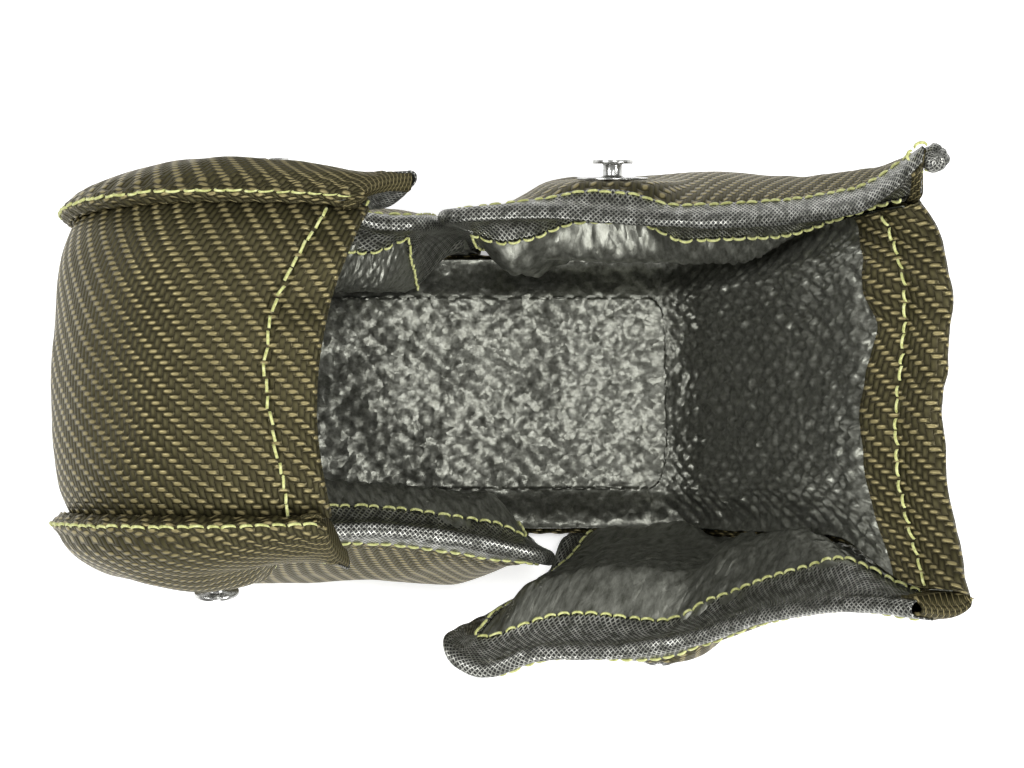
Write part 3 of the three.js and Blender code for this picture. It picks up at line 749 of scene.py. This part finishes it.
def band_foil():
    length = RIGHT_END - LEFT_END
    share = steps(length, FOIL_PITCH)[:, None]
    v = np.sin((steps(BAND_WIDTH, FOIL_PITCH) - 0.5) * math.pi * 0.9) / math.sin(0.45 * math.pi)
    share, v = np.broadcast_arrays(share, v[None, :])
    start, stop = left_end_at(v) + 2, right_end_at(v) - 2
    s = mix(start, stop, share)
    y = across_at(s, v)
    from_end = np.minimum(s - start, stop - s)
    from_seam = (1 - np.abs(v)) * BAND_WIDTH / 2
    calm = smooth(from_end / 16) * mix(0.35, 1, smooth(from_seam / 6))
    coarse, fine = crumple(s, y, 11, 3.7), crumple(s, y, 12, 3.5)
    relief = mix(0.6 * coarse, 2.3 * fine, smooth((s - 45) / 20)) * calm
    relief = relief + 1.1 * ripple(s / 22, y / 17, 31) * calm
    depth = band_depth(s, v) + relief
    points = band_point(s, v, depth)
    points[..., 2] = np.maximum(points[..., 2], 0.6)
    piece = grid_piece("band_foil_crinkled", points, band_inward(s, v), flat_place(s, y), LINER)
    finish_piece(piece, FOIL_FACE, "embossed_foil", "band_foil")
    return piece


# Panels
def panel_cloth(panel):
    hem, turn = 5.0, math.pi * FOLD
    across = panel.span
    total_u = hem + turn + across
    w = steps(total_u, CLOTH_PITCH)[:, None] * total_u - hem - turn
    tall = float(panel.length(0.5))
    total_t = 2.5 + turn + tall
    q = steps(total_t, CLOTH_PITCH)[None, :] * total_t - 2.5 - turn
    w, q = np.broadcast_arrays(w, q)
    angle_u, angle_t = np.clip(-w / FOLD, 0, math.pi), np.clip(-q / FOLD, 0, math.pi)
    angle = np.maximum(angle_u, angle_t)
    u = (np.maximum(w, 0) - np.where(angle_u >= angle_t, FOLD * np.sin(angle_u), 0)) / across
    u = u + np.maximum(-w - turn, 0) / across
    length = panel.length(np.clip(u, 0, 1))
    t = np.maximum(q, 0) / tall - np.where(angle_t > angle_u, FOLD * np.sin(angle_t), 0) / length
    t = t + np.maximum(-q - turn, 0) / length
    u, t = panel.pulled(u, t)
    inner = (w < -turn) | (q < -turn)
    depth = panel.depth(np.clip(u, 0, 1), np.clip(t, 0, 1))
    level = np.where(inner, depth + SKIN + GAP, FOLD * (1 - np.cos(angle)))
    from_seam, from_edge = t * length, (1 - t) * length
    from_seat = np.hypot(*(panel.face(u, t)[..., [0, 2]] - panel.seat[[0, 2]]).transpose(2, 0, 1))
    calm = smooth(from_seam / 8) * smooth(from_edge / 8) * smooth((from_seat - 11) / 8) * (angle == 0)
    wrinkle = 0.8 * ripple(w / 26, q / 19, 41 + panel.side) + 0.3 * ripple(w / 9, q / 8, 44)
    push = wrinkle * calm + puckers(from_seam, w) + puckers(from_edge - 6, w) * (angle == 0)
    points = panel.point(u, t, level - push)
    points[..., 2] = np.maximum(points[..., 2], 0.3)
    away = np.zeros_like(points)
    away[..., 1] = panel.side * np.where(angle > math.pi / 2, -1, 1)
    name = panel.name + "_cloth_woven"
    piece = grid_piece(name, points, away, flat_place(-panel.side * w, q), SKIN)
    finish_piece(piece, TWILL, "mineral_cloth", panel.name + "_cloth", panel.name + "_insulation")
    return piece


def panel_foil(panel):
    share_u = steps(panel.span, FOIL_PITCH)[:, None]
    share_t = steps(float(panel.length(0.5)), FOIL_PITCH)[None, :]
    u, t = np.broadcast_arrays(share_u, share_t)
    u, t = mix(0.008, 0.998, u), mix(0.01, 0.998, t)
    along, up = u * panel.span, t * panel.length(0.5)
    u, t = panel.pulled(u, t)
    length = panel.length(u)
    near = np.minimum((1 - t) * length, (1 - u) * panel.reach)
    calm = smooth((near - 2) / 8) * smooth(t * length / 5) * smooth(u * panel.span / 6)
    relief = crumple(along, up, 51 + panel.side, 3.6) + 0.9 * ripple(along / 19, up / 15, 61)
    points = panel.point(u, t, panel.depth(u, t) + relief * calm)
    points[..., 2] = np.maximum(points[..., 2], 0.6)
    away = np.zeros_like(points)
    away[..., 1] = -panel.side
    piece = grid_piece(panel.name + "_foil_crinkled", points, away, flat_place(along, up), LINER)
    finish_piece(piece, FOIL_FACE, "embossed_foil", panel.name + "_foil")
    return piece


def edge_route(panel, pitch):
    """The line that the binding follows, as shares of the free edge, the corner and the slit."""
    turn_u = 1 - CORNER / panel.reach
    tall = float(panel.length(1.0))
    edge = [("edge", a) for a in steps(panel.edge_length, pitch) * turn_u]
    corner = [("corner", a) for a in np.linspace(0, 1, 16)[1:-1]]
    slit = [("slit", a) for a in mix(1 - CORNER / tall, 0.04, steps(tall, pitch))]
    return edge + corner + slit


def edge_place(panel, route, inset):
    """u and t of the points of the binding that lie an inset in from its edge, one row for each step."""
    tall = float(panel.length(1.0))
    u, t = np.zeros_like(inset), np.zeros_like(inset)
    for k, (part, a) in enumerate(route):
        if part == "edge":
            u[k], t[k] = a, 1 - inset[k] / panel.length(a)
        elif part == "corner":
            reach = CORNER - inset[k]
            u[k] = 1 - (CORNER - reach * math.sin(a * math.pi / 2)) / panel.reach
            t[k] = 1 - (CORNER - reach * math.cos(a * math.pi / 2)) / tall
        else:
            u[k], t[k] = 1 - inset[k] / panel.reach, a
    return u, t


def edge_mesh(panel):
    route = edge_route(panel, 0.7)
    out = np.linspace(STRIP_OUT, 0.6, 8)[:-1]
    bend = np.linspace(0, math.pi, 14)
    inner = np.linspace(0.6, STRIP_IN, 14)[1:]
    middle = THIN_QUILT / 2
    inset = np.concatenate([out, 0.6 - ROLL * np.sin(bend), inner])
    rows = np.broadcast_to(inset, (len(route), len(inset)))
    k = np.arange(len(route))[:, None]
    lump = 1 + 0.09 * ripple(k / 7.0, np.arange(len(inset))[None, :] / 6.0, 71)
    roll = slice(len(out), len(out) + len(bend))
    rows = rows.copy()
    rows[:, roll] = 0.6 - ROLL * np.sin(bend) * lump[:, roll]
    u, t = edge_place(panel, route, rows)
    depth = panel.depth(np.clip(u, 0, 1), np.clip(t, 0, 1))
    level = np.zeros_like(rows)
    level[:, : len(out)] = -0.55 - 0.15 * (lump[:, : len(out)] - 1) * 10
    level[:, roll] = middle - ROLL * np.cos(bend) * lump[:, roll]
    after = len(out) + len(bend)
    level[:, after:] = np.maximum(depth[:, after:] + 0.7, 0) + 0.25 * ripple(k / 9.0, 0, 73)
    points = panel.point(u, t, level)
    centre = panel.point(np.clip(u, 0, 1), np.clip(t, 0, 1), middle)
    gone = np.concatenate([[0], np.cumsum(np.linalg.norm(np.diff(points[:, 12], axis=0), axis=1))])
    round_it = np.concatenate([[0], np.cumsum(np.linalg.norm(np.diff(points[40], axis=0), axis=1))])
    name = panel.name + "_binding_knitted"
    piece = grid_piece(name, points, points - centre, flat_place(gone[:, None], round_it[None, :]), 0.5)
    return finish_piece(piece, WIRE, "wire_mesh", panel.name + "_edge_mesh")


def panel_threads(panel):
    crest_u = np.linspace(0.0, 0.97, 260)
    length = panel.length(crest_u)
    crest = panel.point(crest_u, -(FOLD + 0.15) / length, FOLD)
    below = panel.point(crest_u, 0.03 + 0 * crest_u, FOLD)
    thread_line(panel.name + "_seam_thread", crest, unit(crest - below), 0.35, 3)
    route = edge_route(panel, 2.0)
    u, t = edge_place(panel, route, np.full((len(route), 1), STRIP_IN - 0.6))
    u, t = u[4:-4, 0], t[4:-4, 0]
    depth = panel.depth(np.clip(u, 0, 1), np.clip(t, 0, 1))
    inside = panel.point(u, t, depth + 1.5)
    thread_line(panel.name + "_binding_thread", inside, -panel_out(panel, u, t), 0.3, 5)
    u, t = edge_place(panel, route, np.full((len(route), 1), STRIP_OUT - 0.4))
    u, t = u[2:-2, 0], t[2:-2, 0]
    outside = panel.point(u, t, -0.5)
    thread_line(panel.name + "_outer_thread", outside, panel_out(panel, u, t), 0.3, 6)


def band_threads():
    v = np.linspace(-0.99, 0.99, 200)
    y = across_at(left_end_at(v), v)
    s = left_end_at(v) + hem_stitch(y)
    thread_line("left_hem_thread", band_point(s, v, np.full_like(s, -0.2)), -band_inward(s, v), 0.5, 8)
    s = right_end_at(v) - RIGHT_STITCH
    inner = band_depth(s, v) + GAP + SKIN + 0.9
    thread_line("right_hem_thread", band_point(s, v, inner), band_inward(s, v), 0.5, 9)


def corner_knob(panel):
    """The binding's end, rolled into a knob at the mouth's corner and tied with thread."""
    polar, turn = np.linspace(0, np.pi, 24)[:, None], np.linspace(0, 2 * np.pi, 40)[None, :]
    polar, turn = np.broadcast_arrays(polar, turn)
    out = np.stack([np.sin(polar) * np.cos(turn), np.sin(polar) * np.sin(turn), np.cos(polar)], -1)
    lump = 1 + 0.16 * ripple(2 * out[..., 0] + 5, 2 * out[..., 1] + 2 * out[..., 2] + 5, 81)
    centre = np.array(panel.edge[0]) + KNOB_PLACE
    points = centre + KNOB * out * lump[..., None]
    piece = grid_piece("corner_knob_knitted", points, out, flat_place(KNOB * turn, KNOB * polar), 0)
    finish_piece(piece, WIRE, "wire_mesh")
    round_it = np.linspace(0, 2 * np.pi, 60)
    ring = np.stack([np.cos(round_it), np.sin(round_it), 0.5 * np.sin(round_it)], -1)
    thread_line("corner_knot_thread", centre - (KNOB * 0.9, 0, 0) + KNOB * 0.95 * ring, ring, 0.3, 11)


# Studs
def seat_matrix(panel):
    origin = Vector((panel.seat[0], panel.side * panel.seat[1], panel.seat[2])) * MM
    axis = Vector((panel.lean[0], panel.side * panel.lean[1], panel.lean[2]))
    return Matrix.Translation(origin) @ axis.to_track_quat("Z", "Y").to_matrix().to_4x4()


def pick(piece, test):
    """Selects, in edit mode, the faces that pass a test of their middle and normal."""
    bpy.ops.object.mode_set(mode="OBJECT")
    for part in (piece.data.vertices, piece.data.edges, piece.data.polygons):
        part.foreach_set("select", np.zeros(len(part), bool))
    for face in piece.data.polygons:
        face.select = test(face.center, face.normal)
    bpy.ops.object.mode_set(mode="EDIT")


def stud_piece(panel):
    base = GAP + WASHER_THICKNESS + NECK_HEIGHT
    bpy.ops.object.select_all(action="DESELECT")
    bpy.ops.mesh.primitive_cylinder_add(
        vertices=64, radius=HEAD_RADIUS * MM, depth=HEAD_THICKNESS * MM,
        location=(0, 0, (base + HEAD_THICKNESS / 2) * MM),
    )
    stud = bpy.context.object
    stud.name = panel.name + "_stud_turned"
    bpy.ops.object.transform_apply(location=True)
    bpy.ops.object.mode_set(mode="EDIT")
    bpy.ops.mesh.select_mode(type="FACE")
    pick(stud, lambda centre, normal: normal.z > 0.9)
    bpy.ops.mesh.inset(thickness=1.0 * MM)
    bpy.ops.transform.translate(value=(0, 0, -0.25 * MM))
    bpy.ops.mesh.inset(thickness=1.6 * MM)
    bpy.ops.transform.translate(value=(0, 0, -0.15 * MM))
    pick(stud, lambda centre, normal: normal.z < -0.9)
    bpy.ops.mesh.inset(thickness=(HEAD_RADIUS - NECK_RADIUS - 0.35) * MM)
    bpy.ops.mesh.inset(thickness=0.35 * MM)
    bpy.ops.transform.translate(value=(0, 0, -0.35 * MM))
    bpy.ops.mesh.extrude_region_move(TRANSFORM_OT_translate={"value": (0, 0, -(NECK_HEIGHT - 1.0) * MM)})
    bpy.ops.mesh.extrude_region_move(TRANSFORM_OT_translate={"value": (0, 0, -0.65 * MM)})
    bpy.ops.transform.resize(value=(1.35, 1.35, 1))
    bpy.ops.mesh.extrude_region_move(TRANSFORM_OT_translate={"value": (0, 0, -0.6 * MM)})
    bpy.ops.object.mode_set(mode="OBJECT")
    edge = stud.modifiers.new("edge", "BEVEL")
    edge.width, edge.segments, edge.limit_method = 0.16 * MM, 2, "ANGLE"
    bpy.ops.object.modifier_apply(modifier=edge.name)
    bpy.ops.object.shade_smooth_by_angle(angle=math.radians(35))
    stud.data.transform(seat_matrix(panel))
    finish_piece(stud, STEEL, "stud_steel", panel.name + "_stud")


def washer_piece(panel):
    bpy.ops.object.select_all(action="DESELECT")
    bpy.ops.mesh.primitive_cylinder_add(
        vertices=72, radius=WASHER_RADIUS * MM, depth=WASHER_THICKNESS * MM,
        location=(0, 0, (GAP + WASHER_THICKNESS / 2) * MM),
    )
    washer = bpy.context.object
    washer.name = panel.name + "_washer_stamped"
    bpy.ops.object.transform_apply(location=True)
    bpy.ops.object.mode_set(mode="EDIT")
    bpy.ops.mesh.select_mode(type="FACE")
    pick(washer, lambda centre, normal: abs(normal.z) > 0.9)
    bpy.ops.mesh.inset(thickness=(WASHER_RADIUS - NECK_RADIUS * 1.35 - 0.25) * MM)
    bpy.ops.mesh.bridge_edge_loops()
    bpy.ops.object.mode_set(mode="OBJECT")
    edge = washer.modifiers.new("edge", "BEVEL")
    edge.width, edge.segments, edge.limit_method = 0.2 * MM, 2, "ANGLE"
    bpy.ops.object.modifier_apply(modifier=edge.name)
    bpy.ops.object.shade_smooth_by_angle(angle=math.radians(35))
    washer.data.transform(seat_matrix(panel))
    finish_piece(washer, STEEL, "stud_steel", panel.name + "_washer")


# Stage
def stage():
    bpy.ops.object.select_all(action="DESELECT")
    bpy.ops.mesh.primitive_plane_add(size=6, location=(0, 0, 0))
    floor = bpy.context.object
    floor.name = "studio_floor"
    floor.data.materials.append(white_floor())
    world = bpy.data.worlds.new("studio_air")
    bpy.context.scene.world = world
    world.use_nodes = True
    world.node_tree.nodes["Background"].inputs["Color"].default_value = colour("#f1f1ee")
    world.node_tree.nodes["Background"].inputs["Strength"].default_value = 0.34
    for name, place, size, power in (
        ("key_softbox", (0.16, 0.12, 0.95), 0.2, 2.2),
        ("left_softbox", (-0.7, 0.1, 0.8), 0.4, 5.0),
        ("right_softbox", (0.75, -0.15, 0.7), 0.35, 6.0),
        ("front_softbox", (0.05, -0.85, 0.65), 0.4, 5.0),
    ):
        lamp = bpy.data.lights.new(name, "AREA")
        lamp.shape, lamp.size, lamp.energy = "SQUARE", size, power
        holder = bpy.data.objects.new(name, lamp)
        bpy.context.scene.collection.objects.link(holder)
        holder.location = place
        holder.rotation_euler = (Vector((0, 0, 0.05)) - Vector(place)).to_track_quat("-Z", "Y").to_euler()


def camera():
    seen = bpy.data.cameras.new("product_camera")
    seen.lens, seen.sensor_width = 36 * 1701 / 1024, 36
    seen.clip_start, seen.clip_end = 0.01, 20
    holder = bpy.data.objects.new("product_camera", seen)
    bpy.context.scene.collection.objects.link(holder)
    target, distance, elevation = Vector((0, 0, 0.06)), 0.5, math.radians(86.7)
    back = Vector((0, -math.cos(elevation), math.sin(elevation)))
    holder.location = target + back * distance
    holder.rotation_euler = (-back).to_track_quat("-Z", "Y").to_euler()
    bpy.context.scene.camera = holder


camera()
band_cloth()
band_foil()
band_threads()
for given in PANELS:
    panel = Panel(given)
    panel_cloth(panel)
    panel_foil(panel)
    edge_mesh(panel)
    panel_threads(panel)
    stud_piece(panel)
    washer_piece(panel)
    if panel.name == "rear_right":
        corner_knob(panel)
    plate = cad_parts[panel.name + "_backing_plate"]
    plate.data.materials.clear()
    plate.data.materials.append(STEEL)
stage()
bpy.context.scene.view_settings.view_transform = "Standard"
